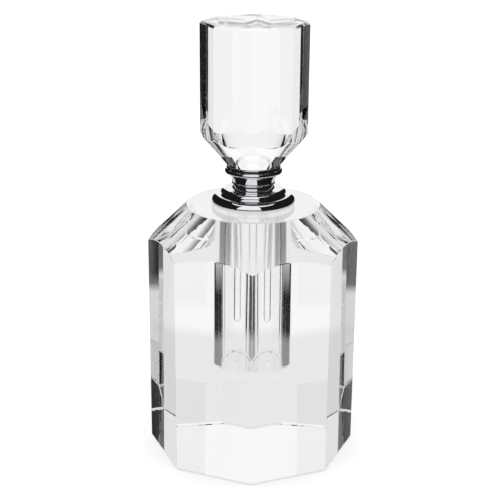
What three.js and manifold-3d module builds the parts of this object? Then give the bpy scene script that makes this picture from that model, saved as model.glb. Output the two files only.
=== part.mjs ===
// Crystal perfume bottle with a screw-in dabber stopper.
// Units are millimetres, +Z is up, and the origin is the centre of the base's underside.
// The body is a cut octagonal block with one vertical edge facing -Y, a 45 degree turned shoulder and a
// drilled chamber. A plated bush with a female thread is glued into the mouth, under a stepped collar.
// The stopper is a cut octagonal finial on a plated ferrule, whose threaded plug carries a glass dabber rod.
// The threads are plain here: the plug's crests clear the bush, so that the stopper can turn and lift.
import * as THREE from "three";
import { mergeVertices } from "three/addons/utils/BufferGeometryUtils.js";
import Module from "manifold-3d";

const wasm = await Module();
wasm.setup();

// ---- driving dimensions ----
const SIDES = 8; // facets of the body and of the finial
const BODY_R = 30; // body, centre to vertical edge
const BODY_HEIGHT = 73.2;
const SHOULDER_TOP_R = 19; // flat round top of the body
const BASE_BEVEL = 0.5;
const CHAMBER_R = 7.7;
const CHAMBER_FLOOR_Z = 27.6;
const CHAMBER_FILLET = 1.2;

const FINIAL_R = 15; // finial, centre to vertical edge
const FINIAL_FOOT_R = 7.5;
const FINIAL_FOOT_Z = 84.7;
const FINIAL_TAPER_TOP_Z = 93.7; // where the turned taper reaches the vertical edges
const TOTAL_HEIGHT = 124.4;
const FINIAL_BEVEL = 0.6;
const STOPPER_SEAT_ANGLE = THREE.MathUtils.degToRad(-1.7); // the closed stopper stops this far out of line

const GLUE = 0.1; // glue lines and seating gaps
const ROD_R = 1.6;
const ROD_TIP_Z = 40;
const ROD_TOP_Z = 79;

const ROUND = 48; // straight edges in a full circle of a turned piece
const ARC_STEP = Math.PI / 8; // longest step along a rounded edge

// ---- outlines ----
// Points on an arc in the (r, z) plane from angle a0 to a1, in degrees, counted from +r towards +z.
// The arc is part of an ellipse where its height differs from its radius.
function arc(centreR, centreZ, radius, a0, a1, height = radius) {
  const from = THREE.MathUtils.degToRad(a0);
  const sweep = THREE.MathUtils.degToRad(a1) - from;
  const steps = Math.max(2, Math.ceil(Math.abs(sweep) / ARC_STEP));
  return Array.from({ length: steps + 1 }, (_, i) => {
    const a = from + (sweep * i) / steps;
    return [centreR + radius * Math.cos(a), centreZ + height * Math.sin(a)];
  });
}

// A closed outline [[r, z], ...] turned about the Z axis. It runs anticlockwise in the (r, z) plane.
function turned(outline, segments = ROUND) {
  const points = outline.map(([r, z]) => new THREE.Vector2(Math.max(r, 0), z));
  if (outline[0][0] > 0) points.push(points[0].clone());
  return new THREE.LatheGeometry(points, segments).rotateX(Math.PI / 2);
}

// An upright octagonal block with a vertical edge facing -Y.
function octagonBlock(radius, bottomZ, topZ) {
  const shape = new THREE.Shape(
    Array.from({ length: SIDES }, (_, i) => {
      const a = (i * 2 * Math.PI) / SIDES;
      return new THREE.Vector2(radius * Math.cos(a), radius * Math.sin(a));
    }),
  );
  const block = new THREE.ExtrudeGeometry(shape, { depth: topZ - bottomZ, bevelEnabled: false });
  return block.translate(0, 0, bottomZ);
}

// An octagonal cone or frustum, for bevelled rims, with its edges on those of octagonBlock.
function octagonFrustum(bottomR, topR, bottomZ, topZ) {
  const frustum = new THREE.CylinderGeometry(topR, bottomR, topZ - bottomZ, SIDES);
  return frustum.rotateX(Math.PI / 2).translate(0, 0, (bottomZ + topZ) / 2);
}

// ---- joins and cuts ----
function solid(geometry) {
  const bare = geometry.index ? geometry.toNonIndexed() : geometry.clone();
  for (const name of ["normal", "uv"]) bare.deleteAttribute(name);
  const merged = mergeVertices(bare, 1e-4);
  return new wasm.Manifold(
    new wasm.Mesh({
      numProp: 3,
      vertProperties: merged.attributes.position.array,
      triVerts: new Uint32Array(merged.index.array),
    }),
  );
}

function geometryOf(manifold) {
  const mesh = manifold.getMesh();
  const geometry = new THREE.BufferGeometry();
  geometry.setAttribute("position", new THREE.BufferAttribute(mesh.vertProperties, 3));
  geometry.setIndex(new THREE.BufferAttribute(mesh.triVerts, 1));
  geometry.computeVertexNormals();
  return geometry;
}

// ---- materials ----
const crystal = new THREE.MeshStandardMaterial({
  color: 0xf4f8f8, roughness: 0.02, metalness: 0, transparent: true, opacity: 0.35,
});
const chrome = new THREE.MeshStandardMaterial({ color: 0xc9cbcd, roughness: 0.06, metalness: 1 });
const nickel = new THREE.MeshStandardMaterial({ color: 0xb4b2aa, roughness: 0.22, metalness: 1 });
const whitePlastic = new THREE.MeshStandardMaterial({ color: 0xf0f0ec, roughness: 0.45, metalness: 0 });
const rubber = new THREE.MeshStandardMaterial({ color: 0x242426, roughness: 0.6, metalness: 0 });

function piece(name, geometry, material) {
  const mesh = new THREE.Mesh(geometry, material);
  mesh.name = name;
  return mesh;
}

// ---- the bottle ----
// The cut block: an octagonal prism, turned to a 45 degree shoulder, bevelled at the foot and drilled.
function bottleBody() {
  const shoulderDrop = BODY_R - SHOULDER_TOP_R;
  const shoulder = turned([
    [0, 0],
    [BODY_R + 1, 0],
    [BODY_R + 1, BODY_HEIGHT - shoulderDrop - 1],
    [SHOULDER_TOP_R, BODY_HEIGHT],
    [0, BODY_HEIGHT],
  ], 96);
  const reach = BODY_R - BASE_BEVEL + BODY_HEIGHT + 1;
  const foot = octagonFrustum(BODY_R - BASE_BEVEL, reach, 0, BODY_HEIGHT + 1);
  const chamber = turned([
    [0, CHAMBER_FLOOR_Z],
    ...arc(CHAMBER_R - CHAMBER_FILLET, CHAMBER_FLOOR_Z + CHAMBER_FILLET, CHAMBER_FILLET, -90, 0),
    [CHAMBER_R, BODY_HEIGHT + 1],
    [0, BODY_HEIGHT + 1],
  ]);
  return solid(octagonBlock(BODY_R, 0, BODY_HEIGHT + 1))
    .intersect(solid(shoulder))
    .intersect(solid(foot))
    .subtract(solid(chamber));
}

const SEAT_Z = BODY_HEIGHT + 0.05; // underside of the collar, on its glue line
const FLANGE_R = 11.8;
const FLANGE_EQUATOR_Z = 74.3; // the flange is widest here
const STEP_R = 9.2;
const STEP_BOTTOM_Z = 76.3; // where the upper step rises from the flange
const STEP_EQUATOR_Z = 76.9;
const COLLAR_TOP_Z = 78.1;
const COLLAR_BORE_R = 5.9;
const BUSH_R = 7.5;
const BUSH_NECK_R = COLLAR_BORE_R - GLUE;
const BUSH_BOTTOM_Z = 67.4;
const BUSH_TOP_Z = 76.6;
const BUSH_BORE_R = 4.6;

// A rounded flange with a smaller rounded step on it, and a fine groove between them.
function neckCollar() {
  const ledge = 0.3; // flat left between the flange's rounding and the step
  const grooveDepth = 0.15;
  const grooveTopZ = STEP_BOTTOM_Z + 0.25;
  const underRound = FLANGE_EQUATOR_Z - SEAT_Z;
  const flangeRound = FLANGE_R - STEP_R - ledge;
  const flangeRoundHeight = STEP_BOTTOM_Z - FLANGE_EQUATOR_Z;
  const stepRound = 1.9;
  const stepRoundHeight = COLLAR_TOP_Z - STEP_EQUATOR_Z;
  return turned([
    [COLLAR_BORE_R, SEAT_Z],
    ...arc(FLANGE_R - underRound, FLANGE_EQUATOR_Z, underRound, -90, 0).slice(0, -1),
    ...arc(FLANGE_R - flangeRound, FLANGE_EQUATOR_Z, flangeRound, 0, 90, flangeRoundHeight),
    [STEP_R - grooveDepth, STEP_BOTTOM_Z],
    [STEP_R - grooveDepth, grooveTopZ],
    ...arc(STEP_R - stepRound, STEP_EQUATOR_Z, stepRound, 0, 90, stepRoundHeight),
    [COLLAR_BORE_R + 0.4, COLLAR_TOP_Z],
    [COLLAR_BORE_R, COLLAR_TOP_Z - 0.3],
  ]);
}

// The glued insert: two wide bands below, a plain neck under the collar, and a bore for the plug.
function neckBush() {
  const grooveDepth = 0.35;
  const grooveBottomZ = BUSH_BOTTOM_Z + 2.2;
  const grooveTopZ = grooveBottomZ + 1.2;
  return turned([
    [BUSH_BORE_R, BUSH_BOTTOM_Z],
    [BUSH_R - 0.3, BUSH_BOTTOM_Z],
    [BUSH_R, BUSH_BOTTOM_Z + 0.3],
    [BUSH_R, grooveBottomZ],
    [BUSH_R - grooveDepth, grooveBottomZ + 0.3],
    [BUSH_R - grooveDepth, grooveTopZ - 0.3],
    [BUSH_R, grooveTopZ],
    [BUSH_R, BODY_HEIGHT - GLUE],
    [BUSH_NECK_R, BODY_HEIGHT - GLUE],
    [BUSH_NECK_R, BUSH_TOP_Z],
    [BUSH_BORE_R + 0.3, BUSH_TOP_Z],
    [BUSH_BORE_R, BUSH_TOP_Z - 0.3],
  ]);
}

// ---- the stopper ----
const WASHER_BOTTOM_Z = BUSH_TOP_Z + 0.05;
const WASHER_TOP_Z = WASHER_BOTTOM_Z + 0.8;
const FERRULE_BOTTOM_Z = WASHER_TOP_Z + 0.05;
const FERRULE_SHANK_R = 5.45;
const FERRULE_LIP_R = 6.1; // the ring that ends the shank
const FERRULE_CUP_R = 7.0; // top of the hollowed cup, under the bead
const FERRULE_BEAD_R = 8.1;
const FERRULE_RIM_R = 7.6;
const FERRULE_TOP_Z = FINIAL_FOOT_Z - GLUE;
const LIP_Z = 79.9; // top of the ring that ends the shank
const BEAD_Z = 83.05;
const BEAD_ROUND = 0.75;
const SOCKET_R = 4.0; // blind socket that holds the plug's head
const SOCKET_TOP_Z = 82;

const PLUG_CREST_R = BUSH_BORE_R - 0.15;
const PLUG_HEAD_R = SOCKET_R - GLUE;
const PLUG_BOTTOM_Z = 68.2;
const PLUG_TOP_Z = SOCKET_TOP_Z - GLUE;
const RING_Z = 69.9; // the O-ring's groove
const RING_ROUND = 0.65;
const RING_R = BUSH_BORE_R - 0.05 - RING_ROUND;
const SLEEVE_R = 2.4;
const SLEEVE_BOTTOM_Z = PLUG_BOTTOM_Z - 0.8;

// The cut finial: an octagonal prism with a bevelled top rim, turned to a taper below.
function stopperFinial() {
  const slope = (FINIAL_R - FINIAL_FOOT_R) / (FINIAL_TAPER_TOP_Z - FINIAL_FOOT_Z);
  const over = 1; // how far the turned cutter passes the octagon's corners
  const taper = turned([
    [0, FINIAL_FOOT_Z],
    [FINIAL_FOOT_R, FINIAL_FOOT_Z],
    [FINIAL_R + over, FINIAL_TAPER_TOP_Z + over / slope],
    [FINIAL_R + over, TOTAL_HEIGHT],
    [0, TOTAL_HEIGHT],
  ], 96);
  const reach = FINIAL_R - FINIAL_BEVEL + TOTAL_HEIGHT - FINIAL_FOOT_Z;
  const rim = octagonFrustum(reach, FINIAL_R - FINIAL_BEVEL, FINIAL_FOOT_Z, TOTAL_HEIGHT);
  return solid(octagonBlock(FINIAL_R, FINIAL_FOOT_Z, TOTAL_HEIGHT))
    .intersect(solid(taper))
    .intersect(solid(rim));
}

function stopperFerrule() {
  const lipRound = 0.3;
  const cupTopZ = BEAD_Z - BEAD_ROUND;
  return turned([
    [SOCKET_R, FERRULE_BOTTOM_Z],
    [FERRULE_SHANK_R - 0.2, FERRULE_BOTTOM_Z],
    [FERRULE_SHANK_R, FERRULE_BOTTOM_Z + 0.2],
    [FERRULE_SHANK_R, LIP_Z - 2 * lipRound - 0.1],
    ...arc(FERRULE_LIP_R - lipRound, LIP_Z - lipRound, lipRound, -60, 60),
    [FERRULE_LIP_R - 0.1, LIP_Z + 0.2],
    [FERRULE_LIP_R + 0.2, (LIP_Z + cupTopZ) / 2],
    [FERRULE_CUP_R, cupTopZ],
    ...arc(FERRULE_BEAD_R - BEAD_ROUND, BEAD_Z, BEAD_ROUND, -75, 75),
    [FERRULE_RIM_R, BEAD_Z + BEAD_ROUND],
    [FERRULE_RIM_R, FERRULE_TOP_Z],
    [0, FERRULE_TOP_Z],
    [0, SOCKET_TOP_Z],
    [SOCKET_R, SOCKET_TOP_Z],
  ]);
}

// The plug: a head glued in the ferrule's socket, a screwed shank and a groove for the O-ring.
function threadPlug() {
  const threadBottomZ = RING_Z + RING_ROUND + 0.4;
  const grooveR = RING_R - RING_ROUND - 0.05;
  return turned([
    [SLEEVE_R + 0.05, PLUG_BOTTOM_Z],
    [PLUG_CREST_R - 0.6, PLUG_BOTTOM_Z],
    [PLUG_CREST_R - 0.2, PLUG_BOTTOM_Z + 0.4],
    [PLUG_CREST_R - 0.2, RING_Z - RING_ROUND - 0.1],
    [grooveR, RING_Z - RING_ROUND - 0.1],
    [grooveR, RING_Z + RING_ROUND + 0.1],
    [PLUG_CREST_R - 0.3, RING_Z + RING_ROUND + 0.1],
    [PLUG_CREST_R, threadBottomZ],
    [PLUG_CREST_R, WASHER_BOTTOM_Z - 0.6],
    [PLUG_HEAD_R, WASHER_BOTTOM_Z],
    [PLUG_HEAD_R, PLUG_TOP_Z],
    [SLEEVE_R + 0.05, PLUG_TOP_Z],
  ]);
}

function rodSleeve() {
  return turned([
    [ROD_R + 0.05, SLEEVE_BOTTOM_Z],
    [SLEEVE_R - 0.3, SLEEVE_BOTTOM_Z],
    [SLEEVE_R, SLEEVE_BOTTOM_Z + 0.4],
    [SLEEVE_R, ROD_TOP_Z],
    [ROD_R + 0.05, ROD_TOP_Z],
  ], 32);
}

function dabberRod() {
  return turned([
    ...arc(0, ROD_TIP_Z + ROD_R, ROD_R, -90, 0),
    [ROD_R, ROD_TOP_Z - 0.2],
    [ROD_R - 0.2, ROD_TOP_Z],
    [0, ROD_TOP_Z],
  ], 32);
}

function stopperWasher() {
  return turned([
    [PLUG_CREST_R + 0.1, WASHER_BOTTOM_Z],
    [FERRULE_SHANK_R, WASHER_BOTTOM_Z],
    [FERRULE_SHANK_R, WASHER_TOP_Z],
    [PLUG_CREST_R + 0.1, WASHER_TOP_Z],
  ]);
}

function plugRing() {
  return turned(arc(RING_R, RING_Z, RING_ROUND, 0, 360).slice(0, -1), 32);
}

// ---- the assembly ----
const bottle = new THREE.Group();
bottle.add(
  piece("bottle_body", geometryOf(bottleBody()), crystal),
  piece("neck_collar", neckCollar(), chrome),
  piece("neck_bush", neckBush(), nickel),
);

const stopper = new THREE.Group();
stopper.rotation.z = STOPPER_SEAT_ANGLE;
stopper.add(
  piece("stopper_finial", geometryOf(stopperFinial()), crystal),
  piece("stopper_ferrule", stopperFerrule(), chrome),
  piece("thread_plug", threadPlug(), nickel),
  piece("rod_sleeve", rodSleeve(), whitePlastic),
  piece("dabber_rod", dabberRod(), crystal),
  piece("stopper_washer", stopperWasher(), whitePlastic),
  piece("plug_o_ring", plugRing(), rubber),
);

const perfumeBottle = new THREE.Group();
perfumeBottle.add(bottle, stopper);

export default perfumeBottle;
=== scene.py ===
# Looks for a crystal perfume bottle with a screw-in dabber stopper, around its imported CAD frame.
# Lengths are in metres in the frame's own axes: +Z up, and the front faces -Y.
import math

import bpy
from mathutils import Euler, Matrix, Vector


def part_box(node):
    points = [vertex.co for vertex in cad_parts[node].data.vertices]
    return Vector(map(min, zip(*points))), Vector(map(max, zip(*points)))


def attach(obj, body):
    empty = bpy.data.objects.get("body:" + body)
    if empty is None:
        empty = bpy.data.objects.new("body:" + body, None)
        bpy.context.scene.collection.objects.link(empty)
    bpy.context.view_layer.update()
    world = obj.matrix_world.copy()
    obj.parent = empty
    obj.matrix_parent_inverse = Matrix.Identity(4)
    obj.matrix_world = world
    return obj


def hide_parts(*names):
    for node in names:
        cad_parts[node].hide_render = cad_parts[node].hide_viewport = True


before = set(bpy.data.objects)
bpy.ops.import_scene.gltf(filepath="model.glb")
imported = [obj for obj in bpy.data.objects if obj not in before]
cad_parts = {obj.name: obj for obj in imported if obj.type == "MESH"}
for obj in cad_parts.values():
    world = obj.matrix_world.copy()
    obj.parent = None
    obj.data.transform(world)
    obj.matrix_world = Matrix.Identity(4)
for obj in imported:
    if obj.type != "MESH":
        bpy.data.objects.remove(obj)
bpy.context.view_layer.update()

MM = 0.001
SIDES = 8
FACET = 2 * math.pi / SIDES

# ---- driving dimensions, from the frame where its boxes give them ----
BODY_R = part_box("bottle_body")[1].x
BODY_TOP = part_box("bottle_body")[1].z
SHOULDER_TOP_R = 19 * MM
BASE_BEVEL = 0.5 * MM
CHAMBER_R = 7.7 * MM
CHAMBER_FLOOR = 27.6 * MM
CHAMBER_FILLET = 1.2 * MM
PIP_R = 1.0 * MM  # the small dimple that the drill leaves in the middle of the chamber floor
PIP_DEPTH = 0.1 * MM
PIP_SLOPE = 0.15 * MM  # how far the dimple's side leans in
EDGE = 0.12 * MM  # how far the cut edges are broken by the polishing
FACET_STEPS = 24  # columns of the mesh across one cut facet
CORNER_STEPS = 4  # and round one broken edge

FINIAL_R = 15 * MM
FINIAL_FOOT_R = 7.5 * MM
FINIAL_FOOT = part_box("stopper_finial")[0].z
FINIAL_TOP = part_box("stopper_finial")[1].z
FINIAL_TAPER_TOP = 93.7 * MM
FINIAL_BEVEL = 0.6 * MM
SEAT_ANGLE = math.radians(-1.7)  # how far the finial is turned against the block, as in the photo

ROD_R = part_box("dabber_rod")[1].x
ROD_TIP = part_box("dabber_rod")[0].z
ROD_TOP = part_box("dabber_rod")[1].z

COLLAR_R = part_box("neck_collar")[1].x
COLLAR_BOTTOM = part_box("neck_collar")[0].z
COLLAR_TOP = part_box("neck_collar")[1].z
COLLAR_BORE_R = 5.9 * MM
FLANGE_EQUATOR = 74.3 * MM
STEP_R = 9.2 * MM
STEP_BOTTOM = 76.3 * MM
STEP_EQUATOR = 76.9 * MM

BUSH_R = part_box("neck_bush")[1].x
BUSH_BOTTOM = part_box("neck_bush")[0].z
BUSH_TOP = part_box("neck_bush")[1].z
BUSH_NECK_R = 5.8 * MM
BUSH_BORE_R = 4.6 * MM
BUSH_SHOULDER = BODY_TOP - 0.1 * MM

FERRULE_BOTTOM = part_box("stopper_ferrule")[0].z
FERRULE_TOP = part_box("stopper_ferrule")[1].z
FERRULE_BEAD_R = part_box("stopper_ferrule")[1].x
FERRULE_SHANK_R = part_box("stopper_washer")[1].x
FERRULE_LIP_R = 6.1 * MM
FERRULE_CUP_R = 7.0 * MM
FERRULE_RIM_R = 7.6 * MM
LIP_TOP = 79.9 * MM
BEAD_MIDDLE = 83.05 * MM
BEAD_ROUND = 0.75 * MM
SOCKET_R = 4.0 * MM
SOCKET_TOP = 82 * MM

PLUG_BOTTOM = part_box("thread_plug")[0].z
PLUG_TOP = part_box("thread_plug")[1].z
PLUG_CREST_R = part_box("thread_plug")[1].x
PLUG_HEAD_R = SOCKET_R - 0.1 * MM
SLEEVE_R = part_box("rod_sleeve")[1].x
SLEEVE_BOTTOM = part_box("rod_sleeve")[0].z
RING_MIDDLE = (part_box("plug_o_ring")[0].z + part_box("plug_o_ring")[1].z) / 2
RING_ROUND = (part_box("plug_o_ring")[1].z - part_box("plug_o_ring")[0].z) / 2
RING_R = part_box("plug_o_ring")[1].x - RING_ROUND
WASHER_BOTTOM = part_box("stopper_washer")[0].z
WASHER_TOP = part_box("stopper_washer")[1].z
THREAD_PITCH = 1.25 * MM
THREAD_DEPTH = 0.5 * MM
THREAD_FLANK = 2.7  # how steeply the thread's sides rise, in thread depths for each pitch
KNURL_TEETH = 60
FINE_ROUND = 0.08 * MM  # the radius on the edges of small turned and moulded pieces


# ---- outlines and meshes ----
def arc(centre_r, centre_z, radius, a0, a1, steps, height=None):
    """Points (r, z) on an arc, or on part of an ellipse where height is given, from a0 to a1 in degrees."""
    high = radius if height is None else height
    angles = [math.radians(a0 + (a1 - a0) * i / steps) for i in range(steps + 1)]
    return [(centre_r + radius * math.cos(a), centre_z + high * math.sin(a)) for a in angles]


def around(angle, outline):
    """Points (r, z) set out in the upright plane that faces a direction, counted from -Y towards +X."""
    return [(r * math.sin(angle), -r * math.cos(angle), z) for r, z in outline]


def link_mesh(name, verts, faces):
    mesh = bpy.data.meshes.new(name)
    mesh.from_pydata(verts, [], faces)
    mesh.validate()
    piece = bpy.data.objects.new(name, mesh)
    bpy.context.scene.collection.objects.link(piece)
    return piece


def skin(name, columns, sharp_angle=18.0):
    """A closed solid from one outline per column, all with as many points, the first and last on the axis."""
    rows = len(columns[0])
    count = len(columns)
    bottom = 0
    top = 1
    verts = [columns[0][0], columns[0][-1]]
    for column in columns:
        verts += column[1:-1]
    inner = rows - 2

    def index(c, r):
        return 2 + (c % count) * inner + r

    faces = []
    for c in range(count):
        faces.append((bottom, index(c + 1, 0), index(c, 0)))
        for r in range(inner - 1):
            faces.append((index(c, r), index(c + 1, r), index(c + 1, r + 1), index(c, r + 1)))
        faces.append((top, index(c, inner - 1), index(c + 1, inner - 1)))
    piece = link_mesh(name, verts, faces)
    shade(piece, sharp_angle)
    return piece


def closed_ring(name, columns, sharp_angle=24.0):
    """A closed solid from one closed outline per column, off the axis."""
    count = len(columns[0])
    verts = [point for column in columns for point in column]
    faces = []
    for s in range(len(columns)):
        a = s * count
        b = (s + 1) % len(columns) * count
        for i in range(count):
            j = (i + 1) % count
            faces.append((a + i, b + i, b + j, a + j))
    piece = link_mesh(name, verts, faces)
    shade(piece, sharp_angle)
    return piece


def ring(name, outline, segments=192, sharp_angle=24.0):
    """A closed outline of (r, z) points, off the axis, turned about Z."""
    columns = [around(2 * math.pi * s / segments, outline) for s in range(segments)]
    return closed_ring(name, columns, sharp_angle)


def turned(name, outline, segments=192, sharp_angle=24.0):
    """An outline of (r, z) points that starts and ends on the axis, turned about Z."""
    columns = [around(2 * math.pi * s / segments, outline) for s in range(segments)]
    return skin(name, columns, sharp_angle)


def shade(piece, sharp_angle):
    mesh = piece.data
    mesh.polygons.foreach_set("use_smooth", [True] * len(mesh.polygons))
    mesh.set_sharp_from_angle(angle=math.radians(sharp_angle))
    mesh.update()


def octagon_directions(radius, turn=0.0):
    """(direction angle, distance) round an octagon with softened corners, one corner facing -Y."""
    apothem = radius * math.cos(FACET / 2)
    flat_end = math.atan((apothem - EDGE) * math.tan(FACET / 2) / apothem)
    corner_centre = (apothem - EDGE) / math.cos(FACET / 2)
    points = []
    for k in range(SIDES):
        middle = (k + 0.5) * FACET
        for i in range(FACET_STEPS + 1):
            off = flat_end * (2 * i / FACET_STEPS - 1)
            points.append((middle + off + turn, apothem / math.cos(off)))
        gap = FACET / 2 - flat_end
        for i in range(1, CORNER_STEPS):
            off = gap * (2 * i / CORNER_STEPS - 1)
            aside = corner_centre * math.sin(off)
            reach = corner_centre * math.cos(off) + math.sqrt(EDGE**2 - aside**2)
            points.append(((k + 1) * FACET + off + turn, reach))
    return points


# ---- the crystal pieces ----
def make_bottle_body():
    slant = EDGE * math.sqrt(0.5)
    columns = []
    for angle, reach in octagon_directions(BODY_R):
        shoulder = BODY_TOP - (reach - SHOULDER_TOP_R)
        outline = [
            (0, 0),
            (reach * (1 - BASE_BEVEL / BODY_R), 0),
            (reach, BASE_BEVEL),
            (reach, shoulder - EDGE),
            (reach - slant, shoulder + slant),
            (SHOULDER_TOP_R + slant, BODY_TOP - slant),
            (SHOULDER_TOP_R - EDGE, BODY_TOP),
            (CHAMBER_R + 2 * EDGE, BODY_TOP),
            (CHAMBER_R, BODY_TOP - 2 * EDGE),
        ]
        fillet_r = CHAMBER_R - CHAMBER_FILLET
        fillet_z = CHAMBER_FLOOR + CHAMBER_FILLET
        outline += arc(fillet_r, fillet_z, CHAMBER_FILLET, 0, -90, 20)
        outline += [
            (PIP_R, CHAMBER_FLOOR),
            (PIP_R - PIP_SLOPE, CHAMBER_FLOOR - PIP_DEPTH),
            (0, CHAMBER_FLOOR - PIP_DEPTH),
        ]
        columns.append(around(angle, outline))
    return skin("cut_crystal_body", columns, 5)


def make_finial():
    slope = (FINIAL_TAPER_TOP - FINIAL_FOOT) / (FINIAL_R - FINIAL_FOOT_R)
    tilt = math.atan(slope)
    edge_across = EDGE * math.cos(tilt)
    edge_up = EDGE * math.sin(tilt)
    columns = []
    for angle, reach in octagon_directions(FINIAL_R, SEAT_ANGLE):
        taper_end = FINIAL_FOOT + (reach - FINIAL_FOOT_R) * slope
        outline = [
            (0, FINIAL_FOOT),
            (FINIAL_FOOT_R - EDGE, FINIAL_FOOT),
            (FINIAL_FOOT_R + edge_across, FINIAL_FOOT + edge_up),
            (reach - edge_across, taper_end - edge_up),
            (reach, taper_end + EDGE),
            (reach, FINIAL_TOP - FINIAL_BEVEL),
            (reach * (1 - FINIAL_BEVEL / FINIAL_R), FINIAL_TOP),
            (0, FINIAL_TOP),
        ]
        columns.append(around(angle, outline))
    return skin("cut_crystal_finial", columns, 5)


def make_rod():
    chamfer = 0.2 * MM
    outline = arc(0, ROD_TIP + ROD_R, ROD_R, -90, 0, 24)
    outline[0] = (0, ROD_TIP)
    outline += [(ROD_R, ROD_TOP - chamfer), (ROD_R - chamfer, ROD_TOP), (0, ROD_TOP)]
    return turned("glass_dabber_rod", outline, 96, 5)


# ---- the turned pieces ----
def rounded(outline, radius, steps=4):
    """A closed (r, z) outline with each corner replaced by a small arc; a corner may name its own radius."""
    nearly_straight = math.radians(8)
    longest = 0.49  # the part of a side that one arc may take
    count = len(outline)
    points = []
    for i, corner in enumerate(outline):
        here = Vector(corner[:2])
        size = corner[2] if len(corner) > 2 else radius
        back = Vector(outline[i - 1][:2]) - here
        ahead = Vector(outline[(i + 1) % count][:2]) - here
        turn = math.pi - back.angle(ahead)
        reach = size * math.tan(turn / 2)
        room = longest * min(back.length, ahead.length)
        if size == 0 or turn < nearly_straight or reach > room:
            points.append(tuple(here))
            continue
        start = here + back.normalized() * reach
        end = here + ahead.normalized() * reach
        for k in range(steps + 1):
            t = k / steps
            weight = math.cos(turn / 2)
            middle = 2 * weight * t * (1 - t)
            total = (1 - t) ** 2 + middle + t**2
            points.append(tuple((start * (1 - t) ** 2 + here * middle + end * t**2) / total))
    return points


def make_collar():
    ledge = 0.3 * MM
    groove = 0.15 * MM
    groove_top = STEP_BOTTOM + 0.25 * MM
    under = FLANGE_EQUATOR - COLLAR_BOTTOM
    crown = COLLAR_R - STEP_R - ledge
    step_crown = 1.9 * MM
    mouth = 0.3 * MM
    outline = [(COLLAR_BORE_R, COLLAR_BOTTOM)]
    outline += arc(COLLAR_R - under, FLANGE_EQUATOR, under, -90, 0, 16)[:-1]
    outline += arc(COLLAR_R - crown, FLANGE_EQUATOR, crown, 0, 90, 32, STEP_BOTTOM - FLANGE_EQUATOR)
    outline += [(STEP_R - groove, STEP_BOTTOM), (STEP_R - groove, groove_top)]
    outline += arc(STEP_R - step_crown, STEP_EQUATOR, step_crown, 0, 90, 28, COLLAR_TOP - STEP_EQUATOR)
    outline += arc(COLLAR_BORE_R + mouth, COLLAR_TOP - mouth, mouth, 90, 180, 8)
    return ring("turned_neck_collar", outline)


def make_ferrule():
    lip = 0.3 * MM
    cup_top = BEAD_MIDDLE - BEAD_ROUND
    cup_round = 6 * MM
    rim = 0.2 * MM
    step = 0.1 * MM
    outline = [
        (0, SOCKET_TOP, 0),
        (SOCKET_R, SOCKET_TOP, 0),
        (SOCKET_R, FERRULE_BOTTOM),
        (FERRULE_SHANK_R, FERRULE_BOTTOM, rim),
        (FERRULE_SHANK_R, LIP_TOP - 2 * lip - step, 0),
    ]
    outline += arc(FERRULE_LIP_R - lip, LIP_TOP - lip, lip, -60, 60, 12)
    outline += [
        (FERRULE_LIP_R - step, LIP_TOP + rim),
        (FERRULE_LIP_R + rim, (LIP_TOP + cup_top) / 2, cup_round),
        (FERRULE_CUP_R, cup_top),
    ]
    outline += arc(FERRULE_BEAD_R - BEAD_ROUND, BEAD_MIDDLE, BEAD_ROUND, -75, 75, 20)
    outline += [
        (FERRULE_RIM_R, BEAD_MIDDLE + BEAD_ROUND),
        (FERRULE_RIM_R, FERRULE_TOP, rim),
        (0, FERRULE_TOP, 0),
    ]
    return turned("turned_stopper_ferrule", rounded(outline, FINE_ROUND))


def thread_flank(turn, low, high, rows, start_r):
    """(r, z) points up a screw thread that stands out from a plain cylinder, at one part of a full turn."""
    points = []
    for i in range(rows + 1):
        z = low + (high - low) * i / rows
        phase = ((z - low) / THREAD_PITCH - turn) % 1.0
        rise = min(1.0, max(0.0, THREAD_FLANK / 2 - THREAD_FLANK * abs(phase - 0.5)))
        fade = max(0.0, min(1.0, 2 * (z - low) / THREAD_PITCH, 2 * (high - z) / THREAD_PITCH))
        points.append((start_r + THREAD_DEPTH * rise * fade, z))
    return points


def make_plug():
    thread_low = RING_MIDDLE + RING_ROUND + 0.3 * MM
    thread_high = WASHER_BOTTOM - 0.3 * MM
    groove_r = RING_R - RING_ROUND - 0.05 * MM
    bore_r = SLEEVE_R + 0.05 * MM
    land_r = PLUG_CREST_R - 0.2 * MM
    root = PLUG_CREST_R - THREAD_DEPTH
    slack = 0.1 * MM
    lead_in = 0.4 * MM
    chamfer = 0.2 * MM
    below = [
        (bore_r, PLUG_BOTTOM),
        (land_r - lead_in, PLUG_BOTTOM),
        (land_r, PLUG_BOTTOM + lead_in),
        (land_r, RING_MIDDLE - RING_ROUND - slack),
        (groove_r, RING_MIDDLE - RING_ROUND - slack),
        (groove_r, RING_MIDDLE + RING_ROUND + slack),
        (root, RING_MIDDLE + RING_ROUND + slack),
    ]
    above = [
        (root, thread_high + slack),
        (PLUG_HEAD_R, WASHER_BOTTOM),
        (PLUG_HEAD_R, PLUG_TOP - chamfer),
        (PLUG_HEAD_R - chamfer, PLUG_TOP),
        (bore_r, PLUG_TOP),
    ]
    segments = 144
    rows_per_pitch = 14
    rows = int((thread_high - thread_low) / THREAD_PITCH * rows_per_pitch)
    columns = []
    for s in range(segments):
        turn = s / segments
        outline = below + thread_flank(turn, thread_low, thread_high, rows, root) + above
        columns.append(around(2 * math.pi * turn, outline))
    return closed_ring("threaded_plug", columns)


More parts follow.
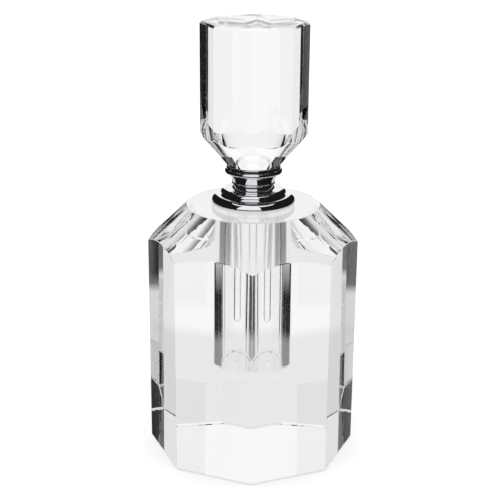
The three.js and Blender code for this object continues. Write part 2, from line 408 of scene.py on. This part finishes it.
def make_bush():
    """The knurled insert: two knurled bands and a groove outside, a female thread inside."""
    groove_low = BUSH_BOTTOM + 2.2 * MM
    groove_high = groove_low + 1.2 * MM
    depth = 0.35 * MM
    tooth = 0.28 * MM
    soften = 0.3 * MM
    bonded_r = CHAMBER_R + 0.01 * MM  # the glue fills the gap at the crests, so they show through the glass
    thread_low = BUSH_BOTTOM + 2.4 * MM
    thread_high = BUSH_TOP - 0.5 * MM
    lead_in = 0.4 * MM
    chamfer = 0.1 * MM
    flank = 1.4  # over 1, so that each tooth has a small flat crest
    segments = KNURL_TEETH * 6
    rows_per_pitch = 12
    rows = int((thread_high - thread_low) / THREAD_PITCH * rows_per_pitch)
    columns = []
    for s in range(segments):
        turn = s / segments
        ripple = abs(2 * ((turn * KNURL_TEETH) % 1.0) - 1)
        crest = bonded_r - (bonded_r - BUSH_R + tooth) * (1 - min(1.0, flank * ripple))
        foot = min(crest, BUSH_R - tooth)
        outline = [
            (BUSH_BORE_R + soften, BUSH_BOTTOM),
            (foot - soften / 2, BUSH_BOTTOM),
            (crest, BUSH_BOTTOM + soften),
            (crest, groove_low),
            (BUSH_R - depth, groove_low + soften),
            (BUSH_R - depth, groove_high - soften),
            (crest, groove_high),
            (crest, BUSH_SHOULDER - soften),
            (foot - soften / 2, BUSH_SHOULDER),
            (BUSH_NECK_R, BUSH_SHOULDER),
            (BUSH_NECK_R, BUSH_TOP - chamfer),
            (BUSH_NECK_R - chamfer, BUSH_TOP),
            (BUSH_BORE_R + lead_in, BUSH_TOP),
            (BUSH_BORE_R, BUSH_TOP - lead_in),
        ]
        outline += reversed(thread_flank(turn, thread_low, thread_high, rows, BUSH_BORE_R))
        outline.append((BUSH_BORE_R, BUSH_BOTTOM + soften))
        columns.append(around(2 * math.pi * turn, outline))
    return closed_ring("knurled_neck_bush", columns, 30)


def make_sleeve():
    bore = ROD_R + 0.05 * MM
    taper_in = 0.35 * MM
    taper_up = 0.5 * MM
    outline = [
        (bore, SLEEVE_BOTTOM),
        (SLEEVE_R - taper_in, SLEEVE_BOTTOM),
        (SLEEVE_R, SLEEVE_BOTTOM + taper_up),
        (SLEEVE_R, ROD_TOP),
        (bore, ROD_TOP),
    ]
    return ring("moulded_rod_sleeve", rounded(outline, FINE_ROUND), 96)


def make_washer():
    inner = PLUG_CREST_R + 0.1 * MM
    outline = [
        (inner, WASHER_BOTTOM),
        (FERRULE_SHANK_R, WASHER_BOTTOM),
        (FERRULE_SHANK_R, WASHER_TOP),
        (inner, WASHER_TOP),
    ]
    return ring("stamped_stopper_washer", rounded(outline, 0.15 * MM), 144)


def make_o_ring():
    return ring("rubber_o_ring", arc(RING_R, RING_MIDDLE, RING_ROUND, 0, 360, 32)[:-1], 144, 60)


# ---- materials ----
def new_material(name):
    material = bpy.data.materials.new(name)
    material.use_nodes = True
    tree = material.node_tree
    shader = tree.nodes["Principled BSDF"]
    return material, tree, shader


def node(tree, kind, **settings):
    made = tree.nodes.new(kind)
    for key, value in settings.items():
        setattr(made, key, value)
    return made


def feed(tree, socket, value):
    """Sets a socket to a number or a vector, or links an output to it."""
    if isinstance(value, (int, float, tuple)):
        socket.default_value = value
    else:
        tree.links.new(value, socket)


def calculate(tree, operation, *values):
    made = node(tree, "ShaderNodeMath", operation=operation)
    for socket, value in zip(made.inputs, values):
        feed(tree, socket, value)
    return made.outputs[0]


def remap(tree, value, low, high, to_low=0.0, to_high=1.0):
    made = node(tree, "ShaderNodeMapRange", interpolation_type="SMOOTHSTEP")
    for name, number in (("From Min", low), ("From Max", high), ("To Min", to_low), ("To Max", to_high)):
        made.inputs[name].default_value = number
    feed(tree, made.inputs["Value"], value)
    return made.outputs[0]


def mix_colours(tree, factor, first, second):
    made = node(tree, "ShaderNodeMix", data_type="RGBA")
    feed(tree, made.inputs["Factor"], factor)
    made.inputs["A"].default_value = (*first, 1)
    made.inputs["B"].default_value = (*second, 1)
    return made.outputs["Result"]


def own_point(tree):
    """The piece's own coordinates, in metres."""
    return node(tree, "ShaderNodeTexCoord").outputs["Object"]


def place(tree):
    """The piece's own coordinates with what a turned surface needs: distance from the axis, and height."""
    point = own_point(tree)
    parts = node(tree, "ShaderNodeSeparateXYZ")
    tree.links.new(point, parts.inputs[0])
    x, y, z = parts.outputs
    x_squared = calculate(tree, "MULTIPLY", x, x)
    y_squared = calculate(tree, "MULTIPLY", y, y)
    radius = calculate(tree, "SQRT", calculate(tree, "ADD", x_squared, y_squared))
    return point, radius, z


def grain(tree, point, size, detail=3.0, stretch=(1, 1, 1)):
    """Noise with features of about the given size in metres, narrower where stretch is larger."""
    mapping = node(tree, "ShaderNodeMapping")
    tree.links.new(point, mapping.inputs["Vector"])
    mapping.inputs["Scale"].default_value = stretch
    noise = node(tree, "ShaderNodeTexNoise")
    tree.links.new(mapping.outputs[0], noise.inputs["Vector"])
    noise.inputs["Scale"].default_value = 1 / size
    noise.inputs["Detail"].default_value = detail
    return noise.outputs["Fac"]


def turning_marks(tree, radius, height, size):
    """Fine rings round the axis, as a lathe tool leaves them."""
    rings = node(tree, "ShaderNodeCombineXYZ")
    tree.links.new(radius, rings.inputs["X"])
    tree.links.new(height, rings.inputs["Z"])
    return grain(tree, rings.outputs[0], size, 2.0)


def relief(tree, shader, *layers):
    """Stacks bump layers, each a (height, depth in metres) pair, on a shader."""
    last = None
    for height, depth in layers:
        bump = node(tree, "ShaderNodeBump")
        bump.inputs["Distance"].default_value = depth
        tree.links.new(height, bump.inputs["Height"])
        if last:
            tree.links.new(last, bump.inputs["Normal"])
        last = bump.outputs[0]
    tree.links.new(last, shader.inputs["Normal"])


def crystal_material():
    """Cut lead crystal: polished facets a little out of flat, and a drilled chamber with faint tool marks."""
    material, tree, shader = new_material("cut_crystal")
    point, radius, height = place(tree)
    shader.inputs["Base Color"].default_value = (0.985, 0.99, 0.99, 1)
    shader.inputs["IOR"].default_value = 1.52
    shader.inputs["Transmission Weight"].default_value = 1.0
    in_bore = remap(tree, radius, CHAMBER_R + 0.3 * MM, CHAMBER_R + 0.1 * MM)
    above_floor = remap(tree, height, CHAMBER_FLOOR - 0.2 * MM, CHAMBER_FLOOR - 0.1 * MM)
    below_top = remap(tree, height, BODY_TOP + 0.2 * MM, BODY_TOP + 0.1 * MM)
    drilled = calculate(tree, "MULTIPLY", in_bore, calculate(tree, "MULTIPLY", above_floor, below_top))
    marks = calculate(tree, "MULTIPLY", turning_marks(tree, radius, height, 0.5 * MM), drilled)
    pits = calculate(tree, "MULTIPLY", grain(tree, point, 0.9 * MM, 4.0), drilled)
    low = remap(tree, height, CHAMBER_FLOOR + 2.2 * MM, CHAMBER_FLOOR + 1.0 * MM)
    drilled_low = calculate(tree, "MULTIPLY", low, drilled)
    chatter = calculate(tree, "MULTIPLY", grain(tree, point, 0.45 * MM, 3.0), drilled_low)
    waves = grain(tree, point, 14 * MM, 1.0)
    relief(tree, shader, (waves, 0.001 * MM), (marks, 0.003 * MM), (pits, 0.006 * MM), (chatter, 0.03 * MM))
    haze = remap(tree, grain(tree, point, 3 * MM, 5.0), 0.55, 0.8, 0.0, 0.02)
    tree.links.new(calculate(tree, "MULTIPLY", haze, drilled), shader.inputs["Roughness"])
    return material


def rod_material():
    """Drawn glass rod: fine draw lines along it and a fire-polished tip."""
    material, tree, shader = new_material("drawn_glass")
    point = own_point(tree)
    shader.inputs["Base Color"].default_value = (0.99, 0.995, 0.99, 1)
    shader.inputs["IOR"].default_value = 1.5
    shader.inputs["Transmission Weight"].default_value = 1.0
    lines = grain(tree, point, 0.8 * MM, 2.0, stretch=(1, 1, 0.04))
    relief(tree, shader, (lines, 0.004 * MM))
    smear = remap(tree, grain(tree, point, 2 * MM, 4.0, stretch=(1, 1, 0.3)), 0.6, 0.85, 0.0, 0.04)
    tree.links.new(smear, shader.inputs["Roughness"])
    return material


def chrome_material():
    """Bright chrome plate over turned brass: faint turning rings, orange peel, smudges and rubbed spots."""
    material, tree, shader = new_material("chrome")
    point, radius, height = place(tree)
    tone = remap(tree, grain(tree, point, 2.5 * MM, 4.0), 0.3, 0.75)
    colour = mix_colours(tree, tone, (0.8, 0.81, 0.83), (0.86, 0.86, 0.865))
    tree.links.new(colour, shader.inputs["Base Color"])
    shader.inputs["Metallic"].default_value = 1.0
    smudge = remap(tree, grain(tree, point, 1.6 * MM, 5.0), 0.45, 0.75, 0.03, 0.11)
    tree.links.new(smudge, shader.inputs["Roughness"])
    rings = turning_marks(tree, radius, height, 0.12 * MM)
    peel = grain(tree, point, 0.6 * MM, 2.0)
    relief(tree, shader, (rings, 0.0012 * MM), (peel, 0.003 * MM))
    return material


def nickel_material():
    """Dull nickel plate on the screwed parts: tool marks, a warmer tone in places and specks of wear."""
    material, tree, shader = new_material("nickel")
    point, radius, height = place(tree)
    tone = remap(tree, grain(tree, point, 1.2 * MM, 5.0), 0.35, 0.7)
    colour = mix_colours(tree, tone, (0.62, 0.6, 0.55), (0.74, 0.73, 0.7))
    tree.links.new(colour, shader.inputs["Base Color"])
    shader.inputs["Metallic"].default_value = 1.0
    wear = remap(tree, grain(tree, point, 0.5 * MM, 4.0), 0.35, 0.7, 0.16, 0.34)
    tree.links.new(wear, shader.inputs["Roughness"])
    relief(tree, shader, (turning_marks(tree, radius, height, 0.1 * MM), 0.003 * MM))
    return material


def plastic_material():
    """Moulded natural polyethylene: a soft bloom, faint flow marks and a fine orange peel."""
    material, tree, shader = new_material("white_plastic")
    point = own_point(tree)
    flow = remap(tree, grain(tree, point, 1.5 * MM, 3.0, stretch=(1, 1, 0.4)), 0.3, 0.75)
    colour = mix_colours(tree, flow, (0.8, 0.8, 0.77), (0.9, 0.9, 0.88))
    tree.links.new(colour, shader.inputs["Base Color"])
    gloss = remap(tree, grain(tree, point, 0.7 * MM, 4.0), 0.3, 0.75, 0.3, 0.48)
    tree.links.new(gloss, shader.inputs["Roughness"])
    shader.inputs["Subsurface Weight"].default_value = 0.25
    shader.inputs["Subsurface Scale"].default_value = 0.5 * MM
    relief(tree, shader, (grain(tree, point, 0.15 * MM, 2.0), 0.003 * MM))
    return material


def rubber_material():
    """Black nitrile rubber: matt, with a grey bloom and a fine moulded grain."""
    material, tree, shader = new_material("black_rubber")
    point = own_point(tree)
    bloom = remap(tree, grain(tree, point, 0.6 * MM, 5.0), 0.45, 0.8)
    colour = mix_colours(tree, bloom, (0.018, 0.018, 0.02), (0.06, 0.06, 0.062))
    tree.links.new(colour, shader.inputs["Base Color"])
    dull = remap(tree, grain(tree, point, 0.3 * MM, 3.0), 0.3, 0.75, 0.42, 0.62)
    tree.links.new(dull, shader.inputs["Roughness"])
    relief(tree, shader, (grain(tree, point, 0.08 * MM, 3.0), 0.006 * MM))
    return material


crystal = crystal_material()
drawn_glass = rod_material()
chrome = chrome_material()
nickel = nickel_material()
white = plastic_material()
black = rubber_material()


def dress(piece, body, nodes, material):
    piece.data.materials.clear()
    piece.data.materials.append(material)
    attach(piece, body)
    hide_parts(*nodes)


dress(make_bottle_body(), "bottle", ["bottle_body"], crystal)
dress(make_finial(), "stopper", ["stopper_finial"], crystal)
dress(make_rod(), "dabber", ["dabber_rod"], drawn_glass)

dress(make_collar(), "bottle", ["neck_collar"], chrome)
dress(make_bush(), "bottle", ["neck_bush"], nickel)
dress(make_ferrule(), "stopper", ["stopper_ferrule"], chrome)
dress(make_plug(), "stopper", ["thread_plug"], nickel)
dress(make_sleeve(), "dabber", ["rod_sleeve"], white)
dress(make_washer(), "seal", ["stopper_washer"], white)
dress(make_o_ring(), "dabber", ["plug_o_ring"], black)

# ---- the studio ----
AIR_GAP = 0.05 * MM  # between the polished base and the floor, so that the base still reflects inside
FLOOR_HALF = 4.0
FLOOR_COLOUR = (0.8, 0.8, 0.8, 1)
FLOOR_GLOW = 0.36  # added to the floor as the camera sees it, so that it is white
# the floor in reflections is the sum of two ramps: first and last y, and the brightness at each
FLOOR_NEAR = (-0.05, 0.01, 0.68, 0.94)
FLOOR_FAR = (0.07, 0.14, 0.0, 0.12)
WORLD_LEVEL = 1.02

TENT_R = 0.10
TENT_TOP = 0.36
TENT_COLUMNS = 90
TENT_ROWS = 24
NO_FOOT = -1.0  # the foot of a paper that reaches the mat, well below it, so that it doesn't fade out there
# the papers on the tent: first and last azimuth in degrees from straight behind, foot, and brightness
BACK_PAPER = (-43, 39, NO_FOOT, 1.0)
LEFT_PAPER = (-118, -58, 0.028, 0.85)
RIGHT_PAPER = (58, 118, 0.028, 0.85)
FRONT_PAPER = (150, 206, NO_FOOT, 0.9)
PAPERS = (BACK_PAPER, LEFT_PAPER, RIGHT_PAPER, FRONT_PAPER)
PAPER_TOP = 0.185
SIDE_FADE = 8  # degrees over which a paper's side edge fades out
END_FADE = 0.02  # the same at its foot and its top, in metres
MAT_RINGS = 10
MAT_LEVEL = 0.86
MAT_SIDES = ((-105, -45), (45, 105))  # the azimuths where the mat's rim is dark
MAT_SIDE_FADE = 20  # degrees
MAT_RIM_R = 0.055
MAT_RIM_SHADE = 0.7  # how much of the mat's light its dark rim takes away
MAT_RIM_FADE = 0.02
MAT_Z = -0.6 * AIR_GAP
SURROUND_R = 0.12
SURROUND_TOP = 0.27
WINDOW_LOW = 0.088
CLOTH_Z = -0.3 * AIR_GAP
CLOTH_LEVEL = 0.012
CLOTH_STEPS = 16
# the cloths of the surround: name, first and last azimuth, and height
CLOTHS = (
    ("left", -137, -20, SURROUND_TOP),
    ("right", 20, 159, SURROUND_TOP),
    ("front", 159, 223, WINDOW_LOW),
)

# the photo's camera, fitted to the corners of the cut crystal
CAMERA_LENS = 87.76  # in millimetres, as is the film's width
CAMERA_FILM = 36.0
CAMERA_PLACE = (0, -0.33119, 0.17106)
CAMERA_DOWN = math.radians(18.653)
CAMERA_LEFT = math.radians(0.14)  # set between the aim that suits the block and the stopper's
CAMERA_ROLL = math.radians(0.479)
CAMERA_NEAR = 0.01
LIGHT_BOUNCES = 40  # light crosses the cut glass many times before it leaves
CLEAR_BOUNCES = 16


def make_floor():
    """A pale floor: white where the camera sees it directly, darker towards the front in reflections."""
    half = FLOOR_HALF
    level = -AIR_GAP
    floor = link_mesh(
        "studio_floor",
        [(-half, -half, level), (half, -half, level), (half, half, level), (-half, half, level)],
        [(0, 1, 2, 3)],
    )
    material, tree, shader = new_material("studio_floor")
    shader.inputs["Base Color"].default_value = FLOOR_COLOUR
    shader.inputs["Roughness"].default_value = 1.0
    shader.inputs["Specular IOR Level"].default_value = 0.0
    shader.inputs["Emission Color"].default_value = (1, 1, 1, 1)
    shader.inputs["Emission Strength"].default_value = FLOOR_GLOW
    parts = node(tree, "ShaderNodeSeparateXYZ")
    tree.links.new(node(tree, "ShaderNodeTexCoord").outputs["Object"], parts.inputs[0])
    near = remap(tree, parts.outputs["Y"], *FLOOR_NEAR)
    far = remap(tree, parts.outputs["Y"], *FLOOR_FAR)
    reflected = node(tree, "ShaderNodeEmission")
    tree.links.new(calculate(tree, "ADD", near, far), reflected.inputs["Strength"])
    mix = node(tree, "ShaderNodeMixShader")
    tree.links.new(node(tree, "ShaderNodeLightPath").outputs["Is Camera Ray"], mix.inputs["Fac"])
    tree.links.new(reflected.outputs[0], mix.inputs[1])
    tree.links.new(shader.outputs[0], mix.inputs[2])
    tree.links.new(mix.outputs[0], tree.nodes["Material Output"].inputs["Surface"])
    floor.data.materials.append(material)


def ray_only(piece, kind):
    """Leaves a stage piece visible only to rays of one kind, glossy or transmission."""
    for other in ("camera", "diffuse", "glossy", "transmission", "volume_scatter", "shadow"):
        setattr(piece, "visible_" + other, other == kind)


def upright(azimuth, radius, z):
    """A point round the bottle, at an azimuth in degrees from straight behind, positive to the right."""
    a = math.radians(azimuth)
    return (radius * math.sin(a), radius * math.cos(a), z)


def glow_material(name, strength):
    """Flat light of a set strength, or of the strength painted on the mesh where a number isn't given."""
    material, tree, shader = new_material(name)
    shader.inputs["Base Color"].default_value = (0, 0, 0, 1)
    shader.inputs["Roughness"].default_value = 1.0
    shader.inputs["Specular IOR Level"].default_value = 0.0
    shader.inputs["Emission Color"].default_value = (1, 1, 1, 1)
    if strength is None:
        painted = node(tree, "ShaderNodeAttribute", attribute_name="level")
        tree.links.new(painted.outputs["Fac"], shader.inputs["Emission Strength"])
    else:
        shader.inputs["Emission Strength"].default_value = strength
    return material


def fade_in(value, edge, width):
    """0 below the edge and 1 above it, with a smooth step of the given width."""
    t = min(max((value - edge) / width + 0.5, 0), 1)
    return t * t * (3 - 2 * t)


def within_arc(azimuth, start, end, width):
    """1 between two azimuths and 0 elsewhere, with smooth edges."""
    half = (end - start) / 2
    away = abs((azimuth - start - half + 180) % 360 - 180)
    return fade_in(half, away, width)


def wall_level(azimuth, z):
    """The brightness painted on the tent's wall: that of a paper where there is one, and dark elsewhere."""
    below_top = 1 - fade_in(z, PAPER_TOP, END_FADE)
    return below_top * max(
        within_arc(azimuth, start, end, SIDE_FADE) * fade_in(z, foot, END_FADE) * level
        for start, end, foot, level in PAPERS
    )


def mat_level(azimuth, radius):
    """The brightness painted on the mat: even, but with a darker rim at its two sides."""
    side = max(within_arc(azimuth, start, end, MAT_SIDE_FADE) for start, end in MAT_SIDES)
    return MAT_LEVEL * (1 - MAT_RIM_SHADE * side * fade_in(radius, MAT_RIM_R, MAT_RIM_FADE))


def make_tent():
    """The tent that only rays out of the glass see: a mat and a round wall, dark but for its light papers."""
    verts = []
    levels = []
    for c in range(TENT_COLUMNS):
        azimuth = 360 * c / TENT_COLUMNS
        for i in range(MAT_RINGS):
            radius = TENT_R * i / MAT_RINGS
            verts.append(upright(azimuth, radius, MAT_Z))
            levels.append(mat_level(azimuth, radius))
        for i in range(TENT_ROWS + 1):
            z = TENT_TOP * i / TENT_ROWS
            verts.append(upright(azimuth, TENT_R, MAT_Z + z))
            levels.append(wall_level(azimuth, z))
    count = MAT_RINGS + TENT_ROWS + 1
    faces = []
    for c in range(TENT_COLUMNS):
        a = c * count
        b = (c + 1) % TENT_COLUMNS * count
        faces += [(a + i, b + i, b + i + 1, a + i + 1) for i in range(count - 1)]
    tent = link_mesh("tent", verts, faces)
    painted = tent.data.attributes.new("level", "FLOAT", "POINT")
    painted.data.foreach_set("value", levels)
    tent.data.materials.append(glow_material("tent_paper", None))
    ray_only(tent, "transmission")


def make_surround():
    """The dark surround that mirror reflections see: cloths round the bottle, each with a flap on the floor.

    The front cloth is low, so the bright world shows over it as a softbox window, and it is open behind.
    """
    black = glow_material("black_cloth", CLOTH_LEVEL)
    for name, start, end, top in CLOTHS:
        verts = [(0, 0, CLOTH_Z)]
        for i in range(CLOTH_STEPS + 1):
            azimuth = start + (end - start) * i / CLOTH_STEPS
            verts += [upright(azimuth, SURROUND_R, CLOTH_Z), upright(azimuth, SURROUND_R, top)]
        faces = [(0, 2 * i + 1, 2 * i + 3) for i in range(CLOTH_STEPS)]
        faces += [(2 * i + 1, 2 * i + 3, 2 * i + 4, 2 * i + 2) for i in range(CLOTH_STEPS)]
        cloth = link_mesh("surround_" + name, verts, faces)
        cloth.data.materials.append(black)
        ray_only(cloth, "glossy")


def make_world():
    world = bpy.data.worlds.new("studio")
    bpy.context.scene.world = world
    world.use_nodes = True
    background = world.node_tree.nodes["Background"]
    background.inputs["Color"].default_value = (1, 1, 1, 1)
    background.inputs["Strength"].default_value = WORLD_LEVEL


def make_camera():
    data = bpy.data.cameras.new("camera")
    data.lens = CAMERA_LENS
    data.sensor_width = CAMERA_FILM
    data.clip_start = CAMERA_NEAR
    camera = bpy.data.objects.new("camera", data)
    bpy.context.scene.collection.objects.link(camera)
    camera.location = CAMERA_PLACE
    aim = Euler((math.pi / 2 - CAMERA_DOWN, 0, CAMERA_LEFT)).to_matrix()
    roll = Matrix.Rotation(CAMERA_ROLL, 3, "Z")
    camera.rotation_euler = (aim @ roll).to_euler()
    bpy.context.scene.camera = camera


make_floor()
make_tent()
make_surround()
make_world()
make_camera()

scene = bpy.context.scene
scene.view_settings.view_transform = "Standard"
scene.cycles.max_bounces = LIGHT_BOUNCES
scene.cycles.transmission_bounces = LIGHT_BOUNCES
scene.cycles.glossy_bounces = LIGHT_BOUNCES
scene.cycles.transparent_max_bounces = CLEAR_BOUNCES
